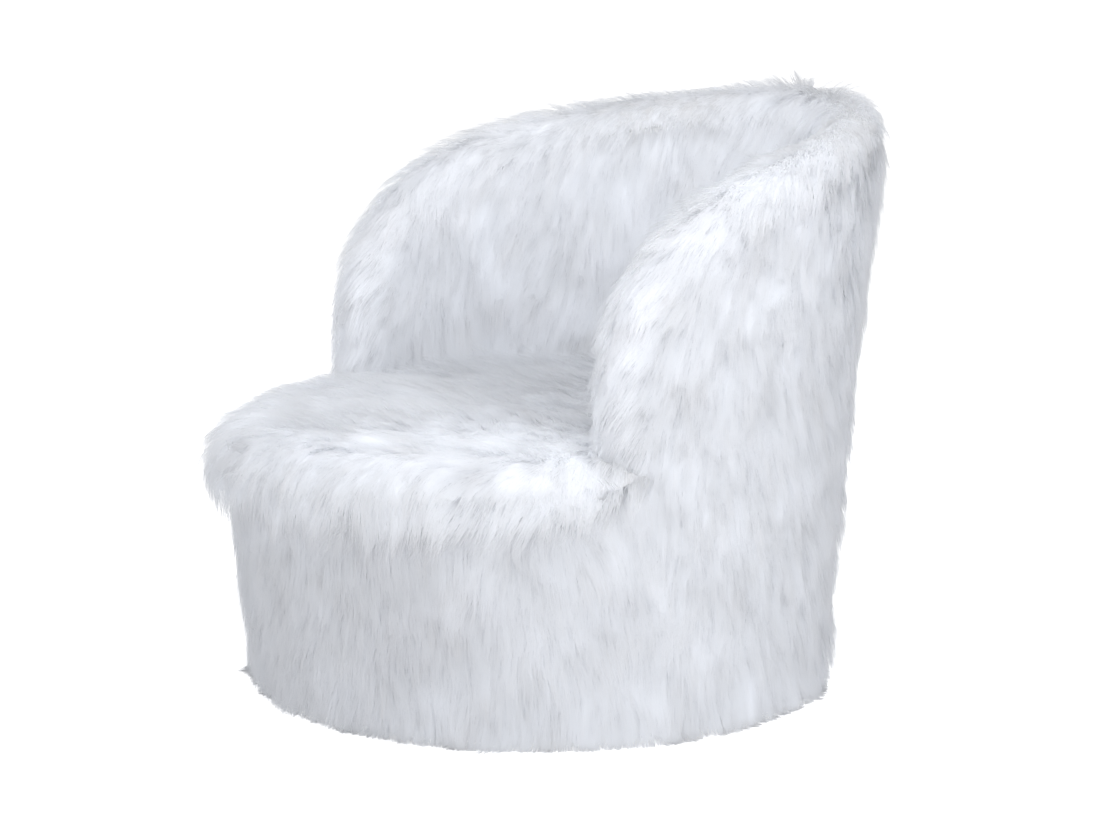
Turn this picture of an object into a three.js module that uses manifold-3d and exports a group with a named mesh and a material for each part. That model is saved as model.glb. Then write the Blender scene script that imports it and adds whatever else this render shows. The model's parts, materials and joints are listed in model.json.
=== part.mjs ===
// A tub chair in long-pile faux fur, on a hidden turntable.
// Millimetres, +Z up. The sitter faces -Y. The origin is on the floor, on the turntable's axis.
// Angles run from straight ahead (0) over the +X arm (90) to the middle of the back (180).
// Sizes of the covers are taken over the standing pile, so a cover is as thick as its pile.

import * as THREE from 'three';
import { mergeVertices } from 'three/addons/utils/BufferGeometryUtils.js';
import Module from 'manifold-3d';

const wasm = await Module();
wasm.setup();

// Overall form
const baseRadius = 404;
const topDraw = 38;
const frontSwell = 46;
const backLean = 149;
const backCurveShare = 0.3;
const backHeight = 798;
const hemHeight = 10;
const deckHeight = 306;

// Wall of the tub and its sweeping edge
const wallThickness = 109;
const armAngle = THREE.MathUtils.degToRad(80.2);
const armTurnHeight = 410;
const sweepPower = 2.24;
const risePower = 3.04;
const borderRise = 55;
const borderRiseAngle = THREE.MathUtils.degToRad(45);
const pile = 25;

// Seat cushion
const cushionInset = 8;
const cushionOverhang = 34;
const cushionMiddle = 37;
const cushionEdge = 80;
const cushionWaist = 30;
const cushionLip = 30;
const cushionShoulder = 80;
const cushionCrown = 12;
const cushionClearance = 1;

// Timber frame
const board = 22;
const ringWidth = 60;
const bearerWidth = 70;
const uprightWidth = 60;
const uprightDepth = 30;
const uprightSetback = 4;
const postWidth = 45;
const postDepth = 22;
const poleRadius = 13;
const poleClearance = 1;
const frontUprightAngle = THREE.MathUtils.degToRad(40);
const postAngles = [armAngle, THREE.MathUtils.degToRad(118), THREE.MathUtils.degToRad(150)];

// Webbing, lining and cloth
const strapWidth = 50;
const strapThickness = 2;
const strapLanding = 12;
const strapSpacing = 96;
const strapCount = 4;
const liningThickness = 3;
const panelDrop = 2;
const clothThickness = 1;
const clothHoleRadius = 165;
const clothMargin = 10;

// Turntable and plinth
const padThickness = 4;
const padRadius = 232;
const plinthRadius = 240;
const plinthThickness = 18;
const plinthChamfer = 3;
const plateSide = 220;
const plateCorner = 24;
const plateThickness = 4;
const plateHoleRadius = 3.5;
const plateHoleInset = 22;
const ballRadius = 4;
const ballCircleRadius = 70;
const ballSink = 1.6;
const cageWidth = 14;
const cageThickness = 2;
const ballCount = 12;

// Fits and facets
const gap = 0.3;
const overrun = 20;
const weldTolerance = 0.001;
const sweepSteps = 16;
const sweepSamples = 640;
const wallRows = 6;
const coverRows = 9;
const panelRows = 6;
const borderRows = 4;
const borderColumns = 16;
const rimFacets = 7;
const ringFacets = 36;
const cushionFacets = 32;
const bulgeRings = 7;
const crownRings = 3;
const poleFacets = 10;
const timberRows = 4;
const discFacets = 40;
const ballFacets = 8;
const cornerFacets = 5;

// Half-widths and depths of the plan, which keep to the base
const topHalfWidth = baseRadius - topDraw;
const frontDeckDepth = baseRadius + frontSwell;
const backTopDepth = baseRadius + backLean;
const borderReach = armAngle - gap / baseRadius;
const cushionHalfWidth = baseRadius - cushionInset;
const cushionReach = frontDeckDepth + cushionOverhang;

// Heights worked out from the floor up, and depths from the outside of the pile inward
const halfWall = wallThickness / 2;
const rollCore = halfWall - pile;
const plinthBottom = padThickness + gap;
const plinthTop = plinthBottom + plinthThickness;
const lowerPlateBottom = plinthTop + gap;
const ballCentre = lowerPlateBottom + plateThickness - ballSink + ballRadius;
const upperPlateBottom = ballCentre + ballRadius - ballSink;
const frameBottom = upperPlateBottom + plateThickness + gap;
const frameTop = frameBottom + board;
const lapHeight = frameBottom + board / 2;
const strapStep = strapThickness + gap;
const seatRingTop = deckHeight - 2 * strapStep;
const seatRingBottom = seatRingTop - board;
const cushionBottom = deckHeight + gap;
const frameDepth = pile + gap;
const ringInnerDepth = frameDepth + ringWidth;
const strapEndDepth = ringInnerDepth - strapLanding;
const poleTop = backHeight - halfWall;

const pileWhite = new THREE.MeshStandardMaterial({ color: 0xe6e9ef, roughness: 0.95, metalness: 0 });
const foam = new THREE.MeshStandardMaterial({ color: 0xe9dfb8, roughness: 0.9, metalness: 0 });
const timber = new THREE.MeshStandardMaterial({ color: 0xc8a678, roughness: 0.7, metalness: 0 });
const card = new THREE.MeshStandardMaterial({ color: 0x9b8663, roughness: 0.85, metalness: 0 });
const webbing = new THREE.MeshStandardMaterial({ color: 0x6d6a62, roughness: 0.9, metalness: 0 });
const blackCloth = new THREE.MeshStandardMaterial({ color: 0x1b1b1d, roughness: 0.95, metalness: 0 });
const blackBoard = new THREE.MeshStandardMaterial({ color: 0x202022, roughness: 0.6, metalness: 0 });
const steel = new THREE.MeshStandardMaterial({ color: 0xa6abb1, roughness: 0.35, metalness: 1 });

const chair = new THREE.Group();

function place(name, geometry, material) {
  geometry.computeVertexNormals();
  const mesh = new THREE.Mesh(geometry, material);
  mesh.name = name;
  chair.add(mesh);
}

// The left and right pieces of a pair share an angle and differ in sign
function sideName(name, sign) {
  return `${name}_${sign > 0 ? 'near' : 'far'}`;
}

// Outline of the tub: an egg-shaped plan that changes with height

function halfAxes(z) {
  const rise = z / backHeight;
  const lean = (1 - backCurveShare) * rise + backCurveShare * rise * rise;
  return {
    side: baseRadius + (topHalfWidth - baseRadius) * rise,
    front: baseRadius + (frontDeckDepth - baseRadius) * z / deckHeight,
    back: baseRadius + (backTopDepth - baseRadius) * lean,
  };
}

// A point of the wall, a horizontal depth inside the outer face of the pile
function wallPoint(angle, z, depth) {
  const axes = halfAxes(z);
  const sine = Math.sin(angle);
  const cosine = Math.cos(angle);
  const length = cosine > 0 ? axes.front : axes.back;
  const normal = new THREE.Vector2(sine / axes.side, -cosine / length).normalize();
  return new THREE.Vector3(
    axes.side * sine - normal.x * depth,
    -length * cosine - normal.y * depth,
    z,
  );
}

// Closed bodies from grids of points

// Faces of a grid look along (row to row) x (column to column)
function gridFaces(grid, indexOf) {
  const faces = [];
  for (let i = 0; i + 1 < grid.length; i++) {
    for (let j = 0; j + 1 < grid[i].length; j++) {
      const a = indexOf(grid[i][j]);
      const b = indexOf(grid[i + 1][j]);
      const c = indexOf(grid[i + 1][j + 1]);
      const d = indexOf(grid[i][j + 1]);
      faces.push([a, b, c], [a, c, d]);
    }
  }
  return faces.filter(([a, b, c]) => a !== b && b !== c && c !== a);
}

function transpose(grid) {
  return grid[0].map((_, j) => grid.map((row) => row[j]));
}

function body(points, faces) {
  const geometry = new THREE.BufferGeometry();
  geometry.setFromPoints(points);
  geometry.setIndex(faces.flat());
  return geometry;
}

function pointKey(point) {
  return point.toArray().map((value) => Math.round(value / weldTolerance)).join(' ');
}

// Joins grids that share edges into one surface
function weld(grids) {
  const points = [];
  const seen = new Map();
  function indexOf(point) {
    const key = pointKey(point);
    if (!seen.has(key)) {
      seen.set(key, points.length);
      points.push(point);
    }
    return seen.get(key);
  }
  const faces = grids.flatMap((grid) => gridFaces(grid, indexOf));
  return { points, faces, indexOf };
}

// A sheet between two sets of grids of the same layout: both faces, and walls along every free edge.
// Each wall is split from its lower outer corner, so two sheets that meet at an edge split it alike.
function sheet(outerGrids, innerGrids) {
  const { points, faces, indexOf } = weld(outerGrids);
  const count = points.length;
  const inner = new Array(count);
  outerGrids.forEach((grid, g) => grid.forEach((row, i) => row.forEach((point, j) => {
    inner[indexOf(point)] = innerGrids[g][i][j];
  })));
  const directed = new Set(faces.flatMap(([a, b, c]) => [`${a} ${b}`, `${b} ${c}`, `${c} ${a}`]));
  const walls = [];
  for (const edge of directed) {
    const [a, b] = edge.split(' ').map(Number);
    if (directed.has(`${b} ${a}`)) {
      continue;
    }
    if (points[b].z < points[a].z) {
      walls.push([b, a, a + count], [b, a + count, b + count]);
    } else {
      walls.push([b, a, b + count], [a, a + count, b + count]);
    }
  }
  const reversed = faces.map(([a, b, c]) => [a + count, c + count, b + count]);
  return body([...points, ...inner], [...faces, ...reversed, ...walls]);
}

// A body through rings of points, each ring seen turning left from its far side, with flat ends
function loft(rings) {
  const count = rings[0].length;
  const faces = [];
  for (let i = 0; i + 1 < rings.length; i++) {
    for (let j = 0; j < count; j++) {
      const next = (j + 1) % count;
      faces.push([i * count + j, i * count + next, (i + 1) * count + next]);
      faces.push([i * count + j, (i + 1) * count + next, (i + 1) * count + j]);
    }
  }
  const last = (rings.length - 1) * count;
  for (let j = 1; j + 1 < count; j++) {
    faces.push([0, j + 1, j], [last, last + j, last + j + 1]);
  }
  return body(rings.flat(), faces);
}

function toSolid(geometry) {
  const bare = geometry.clone();
  bare.deleteAttribute('normal');
  bare.deleteAttribute('uv');
  const merged = mergeVertices(bare, weldTolerance);
  return new wasm.Manifold(new wasm.Mesh({
    numProp: 3,
    vertProperties: new Float32Array(merged.attributes.position.array),
    triVerts: new Uint32Array(merged.index.array),
  }));
}

function toGeometry(solid) {
  const mesh = solid.getMesh();
  const geometry = new THREE.BufferGeometry();
  geometry.setAttribute('position', new THREE.BufferAttribute(new Float32Array(mesh.vertProperties), 3));
  geometry.setIndex(new THREE.BufferAttribute(new Uint32Array(mesh.triVerts), 1));
  return geometry;
}

// What is left of a solid after its cuts, without the crumbs beside it
function largest(solid) {
  return solid.decompose().sort((a, b) => b.volume() - a.volume())[0];
}

function block(sizeX, sizeY, bottom, top) {
  return new THREE.BoxGeometry(sizeX, sizeY, top - bottom).translate(0, 0, (bottom + top) / 2);
}

function disc(profile) {
  const points = profile.map(([radius, height]) => new THREE.Vector2(radius, height));
  return new THREE.LatheGeometry(points, discFacets).rotateX(Math.PI / 2);
}

// The rolled edge of the tub: straight up the arm's front, then in one sweep back and over the top

function sweepStations() {
  const unrolled = [];
  for (let i = 0; i <= sweepSamples; i++) {
    const phase = (Math.PI / 2) * (i / sweepSamples) ** 2;
    const turn = 1 - Math.cos(phase) ** (2 / sweepPower);
    const rise = Math.sin(phase) ** (2 / risePower);
    const angle = armAngle + (Math.PI - armAngle) * turn;
    const height = armTurnHeight + (poleTop - armTurnHeight) * rise;
    unrolled.push(new THREE.Vector2(angle * baseRadius, height));
  }
  const even = new THREE.SplineCurve(unrolled).getSpacedPoints(sweepSteps);
  return even.map((point, i) => ({
    angle: point.x / baseRadius,
    height: point.y,
    upright: i === 0 ? 1 : 0,
  }));
}

function mirrored(stations) {
  return [...stations].reverse().map(({ angle, height, upright }) => ({
    angle: 2 * Math.PI - angle,
    height,
    upright: -upright,
  }));
}

const halfSweep = sweepStations();
const sweep = [...halfSweep, ...mirrored(halfSweep.slice(0, -1))];

function armFront(bottom) {
  const stations = [];
  for (let i = 0; i < wallRows; i++) {
    const height = bottom + (armTurnHeight - bottom) * i / wallRows;
    stations.push({ angle: armAngle, height, upright: 1 });
  }
  return stations;
}

function edgeFrom(bottom) {
  return [...armFront(bottom), ...sweep, ...mirrored(armFront(bottom))];
}

// Each station's centre, the way out of the wall, and the way off the edge within the wall's slope.
// The upright stretches, which run up at the near arm and down at the far one, stay level.
function edgeFrames(stations) {
  const nudge = weldTolerance;
  const centres = stations.map(({ angle, height }) => wallPoint(angle, height, halfWall));
  return stations.map(({ angle, height, upright }, k) => {
    const centre = centres[k];
    const before = centres[Math.max(k - 1, 0)];
    const after = centres[Math.min(k + 1, centres.length - 1)];
    const travel = after.clone().sub(before).normalize();
    const along = wallPoint(angle + nudge, height, halfWall).sub(centre);
    const up = wallPoint(angle, height + nudge, halfWall).sub(centre);
    const normal = along.cross(up).normalize();
    const outward = wallPoint(angle, height, 0).sub(centre).normalize();
    const level = outward.clone().cross(new THREE.Vector3(0, 0, upright));
    return { centre, outward, off: upright ? level : normal.cross(travel).normalize() };
  });
}

// Half-round grid about the edge's centre line, from the outer face over the edge to the inner face,
// held back at both by a small turn where it meets another cover
function rimGrid(stations, radius, seam) {
  return edgeFrames(stations).map(({ centre, outward, off }) => {
    const row = [];
    for (let j = 0; j <= rimFacets; j++) {
      const turn = seam + (Math.PI - 2 * seam) * j / rimFacets;
      row.push(centre.clone()
        .addScaledVector(outward, radius * Math.cos(turn))
        .addScaledVector(off, radius * Math.sin(turn)));
    }
    return row;
  });
}

// Grid on the wall between two heights, one row of points for each station
function wallGrid(stations, bottom, topDrop, rows, depth) {
  return stations.map(({ angle, height }) => {
    const row = [];
    for (let i = 0; i <= rows; i++) {
      row.push(wallPoint(angle, bottom + (height - topDrop - bottom) * i / rows, depth));
    }
    return row;
  });
}

// A curved panel inside the wall, from arm to arm, that stops just under the edge's centre line
function wallPanel(bottom, outerDepth, innerDepth) {
  return sheet(
    [wallGrid(sweep, bottom, panelDrop, panelRows, outerDepth)],
    [wallGrid(sweep, bottom, panelDrop, panelRows, innerDepth)],
  );
}

// A solid of the whole wall with its rolled edge, used to cut what fits round the arms
function wallSolid(growth, bottom) {
  const radius = halfWall + growth;
  const edge = edgeFrom(bottom);
  const rim = rimGrid(edge, radius, 0);
  const depths = [halfWall + radius, halfWall, halfWall - radius];
  const foot = sweep.map(({ angle }) => depths.map((depth) => wallPoint(angle, bottom, depth)));
  const nearEnd = rim[0].map((point) => [point, wallPoint(armAngle, bottom, halfWall)]);
  const farEnd = rim.at(-1).map((point) => [point, wallPoint(-armAngle, bottom, halfWall)]);
  const { points, faces } = weld([
    wallGrid(sweep, bottom, 0, wallRows, halfWall - radius),
    transpose(wallGrid(sweep, bottom, 0, wallRows, halfWall + radius)),
    rim,
    foot,
    nearEnd,
    transpose(farEnd),
  ]);
  return body(points, faces);
}

// Covers of the tub

function edgeCover() {
  const edge = edgeFrom(deckHeight + gap);
  const layers = [halfWall, rollCore].map((radius) => [rimGrid(edge, radius, gap / halfWall)]);
  return sheet(layers[0], layers[1]);
}

function insideCover() {
  const layers = [wallThickness, wallThickness - pile].map((depth) => [
    transpose(wallGrid(sweep, deckHeight + gap, 0, wallRows, depth)),
  ]);
  return sheet(layers[0], layers[1]);
}

function outsideCover() {
  const layers = [0, pile].map((depth) => [wallGrid(sweep, hemHeight, 0, coverRows, depth)]);
  return sheet(layers[0], layers[1]);
}

// The front border's top rises beside the arms, where the cushion thins out
function borderStation(angle) {
  const share = Math.max(Math.abs(angle) - borderRiseAngle, 0) / (armAngle - borderRiseAngle);
  return { angle, height: deckHeight + borderRise * share * share };
}

function borderStations(reach) {
  const stations = [];
  for (let i = 0; i <= borderColumns; i++) {
    stations.push(borderStation(reach * (2 * i / borderColumns - 1)));
  }
  return stations;
}

// The border's end above the deck is cut to the round of the arm
function frontBorder() {
  const layers = [0, pile].map((depth) => [
    wallGrid(borderStations(borderReach), hemHeight, 0, borderRows, depth),
  ]);
  const blank = toSolid(sheet(layers[0], layers[1]));
  return toGeometry(blank.subtract(toSolid(wallSolid(gap, deckHeight))));
}

place('rolled_edge_cover', edgeCover(), pileWhite);
place('inside_back_cover', insideCover(), pileWhite);
place('outside_cover', outsideCover(), pileWhite);
place('front_border_cover', frontBorder(), pileWhite);

// Seat cushion: a round crowned cushion, notched round the two arms

function cushionRing(inset, z) {
  const rearDepth = halfAxes(deckHeight).back - halfWall + cushionMiddle;
  const ring = [];
  for (let j = 0; j < cushionFacets; j++) {
    const turn = 2 * Math.PI * j / cushionFacets;
    const length = Math.cos(turn) > 0 ? cushionReach - cushionMiddle : rearDepth;
    const x = (cushionHalfWidth - inset) * Math.sin(turn);
    const y = -cushionMiddle - (length - inset) * Math.cos(turn);
    ring.push(new THREE.Vector3(x, y, z));
  }
  return ring;
}

// The cushion's form, drawn in all round by an inset, with its flat underside at a given height.
// It bellies out at a low waist, over a short lip, and rounds off slowly over its shoulder.
function cushionForm(inset, bottom) {
  const waist = cushionBottom + cushionWaist;
  const top = cushionBottom + cushionEdge - inset;
  const crown = cushionHalfWidth - cushionShoulder;
  const rings = [cushionRing(cushionLip + inset, bottom)];
  for (let i = 0; i < bulgeRings; i++) {
    const turn = Math.PI * (i / (bulgeRings - 1) - 0.5);
    const reach = turn < 0 ? cushionLip : cushionShoulder;
    const rise = (turn < 0 ? cushionWaist : cushionEdge - cushionWaist) - inset;
    const height = Math.max(waist + rise * Math.sin(turn), bottom + gap);
    rings.push(cushionRing(reach - (reach - inset) * Math.cos(turn), height));
  }
  for (let i = 1; i <= crownRings; i++) {
    const share = 1 - i / (crownRings + 1);
    rings.push(cushionRing(cushionShoulder + crown * (1 - share), top + cushionCrown * (1 - share * share)));
  }
  return toSolid(loft(rings));
}

const cushionOutside = cushionForm(0, cushionBottom);
const cushionHollow = cushionForm(pile, cushionBottom - overrun);
const cushionCore = cushionForm(pile + gap, cushionBottom - overrun).trimByPlane([0, 0, 1], cushionBottom);
const [cutForCover, cutForHollow, cutForCore] = [0, pile, pile + gap]
  .map((depth) => toSolid(wallSolid(cushionClearance + depth, deckHeight - overrun)));

// The cushion's ends stop at the arm fronts, so nothing of it is left outside the wall behind them
function besideWall() {
  const height = cushionBottom + cushionEdge + overrun;
  const stations = sweep.map(({ angle }) => ({ angle, height }));
  const layers = [-overrun, halfWall].map((depth) => [
    wallGrid(stations, deckHeight - overrun, 0, wallRows, depth),
  ]);
  return toSolid(sheet(layers[0], layers[1]));
}

// The border's rise and all that lies in front of it, which the cushion's underside clears
function underCushion() {
  const past = borderReach + overrun / baseRadius;
  const along = [borderStation(-past), ...borderStations(borderReach), borderStation(past)];
  const stations = along.map(({ angle, height }) => ({ angle, height: height + cushionClearance }));
  const layers = [-cushionOverhang - overrun, pile + cushionClearance].map((depth) => [
    wallGrid(stations, deckHeight - overrun, 0, borderRows, depth),
  ]);
  return toSolid(sheet(layers[0], layers[1]));
}

const trim = besideWall().add(underCushion());
const hollow = cushionHollow.subtract(cutForHollow);
const cushionCover = cushionOutside.subtract(cutForCover).subtract(trim).subtract(hollow);
place('seat_cushion_cover', toGeometry(largest(cushionCover)), pileWhite);
place('seat_cushion_foam', toGeometry(largest(cushionCore.subtract(cutForCore).subtract(trim))), foam);

// Padding and lining inside the wall

const liningDepth = halfWall + poleRadius + poleClearance;
const insideFoamDepth = liningDepth + liningThickness + gap;
const insideFoamInner = wallThickness - pile - gap;
const outsidePaddingInner = halfWall - poleRadius - poleClearance;
place('inside_lining_board', wallPanel(seatRingTop + gap, liningDepth, liningDepth + liningThickness), card);
place('inside_back_foam', wallPanel(deckHeight + gap, insideFoamDepth, insideFoamInner), foam);
place('outside_padding', wallPanel(seatRingTop + gap, frameDepth, outsidePaddingInner), foam);
const rimBore = (poleRadius + gap) / Math.cos(Math.PI / 2 / rimFacets);
place('rim_padding', sheet([rimGrid(sweep, rollCore - gap, 0)], [rimGrid(sweep, rimBore, 0)]), foam);

// Timber frame

// Angles right round the plan, with the facets that the covers have
const roundAngles = [...borderStations(armAngle).slice(0, -1), ...sweep].map(({ angle }) => angle);

// A full ring of board whose edges follow the wall's slope
function frameRing(bottom, top, outerDepth, innerDepth) {
  const layers = [outerDepth, innerDepth].map((depth) => [roundAngles.map((angle) => [
    wallPoint(angle, bottom, depth),
    wallPoint(angle, top, depth),
  ])]);
  return sheet(layers[0], layers[1]);
}

const bearerLength = 2 * (baseRadius - frameDepth - ringWidth / 2);
const bearerBox = block(bearerLength, bearerWidth, frameBottom, frameTop);
const lapWidth = bearerWidth + 2 * gap;
const lapUnder = lapHeight - gap / 2;
const lapOver = lapHeight + gap / 2;
const lowerLap = block(bearerLength + overrun, lapWidth, frameBottom - overrun, lapOver);
const upperLap = toSolid(frameRing(lapUnder, frameTop + overrun, 0, ringInnerDepth + gap));
const crossLap = block(lapWidth, bearerWidth + overrun, lapUnder, frameTop + overrun);
const crossLapLow = block(bearerWidth + overrun, lapWidth, frameBottom - overrun, lapOver);

const bearerAcross = toSolid(bearerBox).subtract(upperLap).subtract(toSolid(crossLap));
const bearerAlong = toSolid(bearerBox.clone().rotateZ(Math.PI / 2))
  .subtract(upperLap)
  .subtract(toSolid(crossLapLow));
const bottomRing = toSolid(frameRing(frameBottom, frameTop, frameDepth, ringInnerDepth))
  .subtract(toSolid(lowerLap))
  .subtract(toSolid(lowerLap.clone().rotateZ(Math.PI / 2)));

place('bottom_ring', toGeometry(bottomRing), timber);
place('bearer_across', toGeometry(bearerAcross), timber);
place('bearer_along', toGeometry(bearerAlong), timber);
place('seat_ring', frameRing(seatRingBottom, seatRingTop, frameDepth, ringInnerDepth), timber);

// A timber sawn to the wall's lean, with its foot cut level and its top level or to a slope
function timberAt(angle, width, outerDepth, innerDepth, bottom, topAt) {
  const nudge = weldTolerance;
  const foot = wallPoint(angle, bottom, outerDepth);
  const spread = nudge * width / 2 / wallPoint(angle + nudge, bottom, outerDepth).distanceTo(foot);
  const corners = [[-spread, outerDepth], [spread, outerDepth], [spread, innerDepth], [-spread, innerDepth]];
  const rings = [];
  for (let i = 0; i <= timberRows; i++) {
    rings.push(corners.map(([turn, depth]) => {
      const height = bottom + (topAt(angle + turn) - bottom) * i / timberRows;
      return wallPoint(angle + turn, height, depth);
    }));
  }
  return loft(rings);
}

function upright(angle) {
  const outer = frameDepth + uprightSetback;
  const inner = outer + uprightDepth;
  return timberAt(angle, uprightWidth, outer, inner, frameTop + gap, () => seatRingBottom - gap);
}

// Height of the pole's underside over an angle of the plan, where a post is cut to the pole's slope
function underPole(angle) {
  const k = sweep.findIndex((station) => station.angle > angle);
  const [before, after] = [sweep[k - 1], sweep[k]];
  const share = (angle - before.angle) / (after.angle - before.angle);
  const height = before.height + share * (after.height - before.height);
  const run = wallPoint(after.angle, after.height, halfWall)
    .sub(wallPoint(before.angle, before.height, halfWall));
  const level = Math.hypot(run.x, run.y);
  return height - (poleRadius + gap) * run.length() / level;
}

function post(angle) {
  const top = angle === armAngle ? () => armTurnHeight - gap : underPole;
  const outer = halfWall - postDepth / 2;
  return timberAt(angle, postWidth, outer, outer + postDepth, seatRingTop + gap, top);
}

function mirrorX(geometry) {
  const copy = geometry.clone();
  copy.scale(-1, 1, 1);
  const index = copy.index.array;
  for (let i = 0; i < index.length; i += 3) {
    [index[i], index[i + 1]] = [index[i + 1], index[i]];
  }
  return copy;
}

for (const sign of [1, -1]) {
  const sided = (geometry) => (sign > 0 ? geometry : mirrorX(geometry));
  place(sideName('front_upright', sign), sided(upright(frontUprightAngle)), timber);
  postAngles.forEach((angle, i) => {
    place(sideName(`upright_${i + 1}`, sign), sided(upright(angle)), timber);
    place(sideName(i === 0 ? 'arm_post' : `back_post_${i}`, sign), sided(post(angle)), timber);
  });
}
place('front_upright_middle', upright(0), timber);
place('rear_upright_middle', upright(Math.PI), timber);
place('back_post_middle', post(Math.PI), timber);

// The pole along the edge, bent in one piece
function bentPole() {
  return loft(edgeFrames(sweep).map(({ centre, outward, off }) => {
    const ring = [];
    for (let j = 0; j < poleFacets; j++) {
      const turn = 2 * Math.PI * (j + 0.5) / poleFacets;
      ring.push(centre.clone()
        .addScaledVector(outward, poleRadius * Math.cos(turn))
        .addScaledVector(off, -poleRadius * Math.sin(turn)));
    }
    return ring;
  }));
}
place('bent_top_pole', bentPole(), timber);

// Webbing: one layer each way over the seat ring

// Everything inside a depth of the wall, between two heights
function wallCore(bottom, top, depth) {
  const ringAt = (z) => roundAngles.slice(0, -1).map((angle) => wallPoint(angle, z, depth));
  return toSolid(loft([ringAt(bottom), ringAt(top)]));
}

const strapTrim = wallCore(seatRingTop - overrun, seatRingTop + overrun, strapEndDepth);

// A strap along Y at a given x, turned a quarter for the straps across, trimmed to the ring's landing
function strap(offset, quarterTurns, bottom) {
  const blank = block(strapWidth, 2 * backTopDepth, bottom, bottom + strapThickness)
    .translate(offset, 0, 0)
    .rotateZ(quarterTurns * Math.PI / 2);
  return toGeometry(toSolid(blank).intersect(strapTrim));
}

for (let i = 0; i < strapCount; i++) {
  const offset = (i - (strapCount - 1) / 2) * strapSpacing;
  place(`strap_along_${i + 1}`, strap(offset, 0, seatRingTop + gap), webbing);
  place(`strap_across_${i + 1}`, strap(offset, 1, seatRingTop + gap + strapStep), webbing);
}

// Dust cover: black cloth under the frame, with a hole for the turntable
function dustCover() {
  const top = frameBottom - gap;
  function atHem(angle, z) {
    return wallPoint(angle, z, frameDepth + clothMargin);
  }
  function atHole(angle, z) {
    return new THREE.Vector3(clothHoleRadius * Math.sin(angle), -clothHoleRadius * Math.cos(angle), z);
  }
  const grids = [atHem, atHole].map((pointAt) => [roundAngles.map((angle) => [
    pointAt(angle, top - clothThickness),
    pointAt(angle, top),
  ])]);
  return sheet(grids[0], grids[1]);
}
place('dust_cover', dustCover(), blackCloth);

// Turntable: two square plates that run on a ring of balls

function plate(bottom) {
  const half = plateSide / 2;
  const straight = half - plateCorner;
  const outline = new THREE.Shape();
  const hole = half - plateHoleInset;
  const corners = [[1, 1], [-1, 1], [-1, -1], [1, -1]];
  corners.forEach(([x, y], quarter) => {
    const start = quarter * Math.PI / 2;
    outline.absarc(x * straight, y * straight, plateCorner, start, start + Math.PI / 2, false);
    const path = new THREE.Path();
    path.absarc(x * hole, y * hole, plateHoleRadius, 0, 2 * Math.PI, true);
    outline.holes.push(path);
  });
  outline.closePath();
  const settings = { depth: plateThickness, bevelEnabled: false, curveSegments: cornerFacets };
  return new THREE.ExtrudeGeometry(outline, settings).translate(0, 0, bottom);
}

const groove = toSolid(new THREE.TorusGeometry(ballCircleRadius, ballRadius + gap, ballFacets, ringFacets)
  .translate(0, 0, ballCentre));
place('turntable_lower_plate', toGeometry(toSolid(plate(lowerPlateBottom)).subtract(groove)), steel);
place('turntable_upper_plate', toGeometry(toSolid(plate(upperPlateBottom)).subtract(groove)), steel);

function ballCage() {
  const inner = ballCircleRadius - cageWidth / 2;
  const outer = ballCircleRadius + cageWidth / 2;
  const low = ballCentre - cageThickness / 2;
  const high = ballCentre + cageThickness / 2;
  let cage = toSolid(disc([[inner, low], [outer, low], [outer, high], [inner, high], [inner, low]]));
  for (let i = 0; i < ballCount; i++) {
    const turn = 2 * Math.PI * i / ballCount;
    const ball = new THREE.SphereGeometry(ballRadius, ballFacets, ballFacets / 2)
      .rotateX(Math.PI / 2)
      .translate(ballCircleRadius * Math.cos(turn), ballCircleRadius * Math.sin(turn), ballCentre);
    cage = cage.add(toSolid(ball));
  }
  return toGeometry(cage);
}
place('turntable_ball_cage', ballCage(), steel);

// Plinth with its felt pad

place('plinth_disc', disc([
  [0, plinthBottom],
  [plinthRadius - plinthChamfer, plinthBottom],
  [plinthRadius, plinthBottom + plinthChamfer],
  [plinthRadius, plinthTop - plinthChamfer],
  [plinthRadius - plinthChamfer, plinthTop],
  [0, plinthTop],
]), blackBoard);
place('felt_pad', disc([[0, 0], [padRadius, 0], [padRadius, padThickness], [0, padThickness]]), blackCloth);

export default chair;
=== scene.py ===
"""A tub chair in long-pile faux fur: fur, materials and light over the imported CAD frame.

Metres, +Z up, the sitter faces -Y. Angles run from straight ahead (0) over the +X arm (90 degrees)
to the middle of the back (180). The fur is made of tapered ribbons. They grow from thin skins that
lie a little under the face of the pile, and every random draw is seeded.
"""

import json
import math
from collections.abc import Callable
from dataclasses import dataclass

import bpy
import numpy as np
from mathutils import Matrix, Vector
from mathutils.bvhtree import BVHTree


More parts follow.
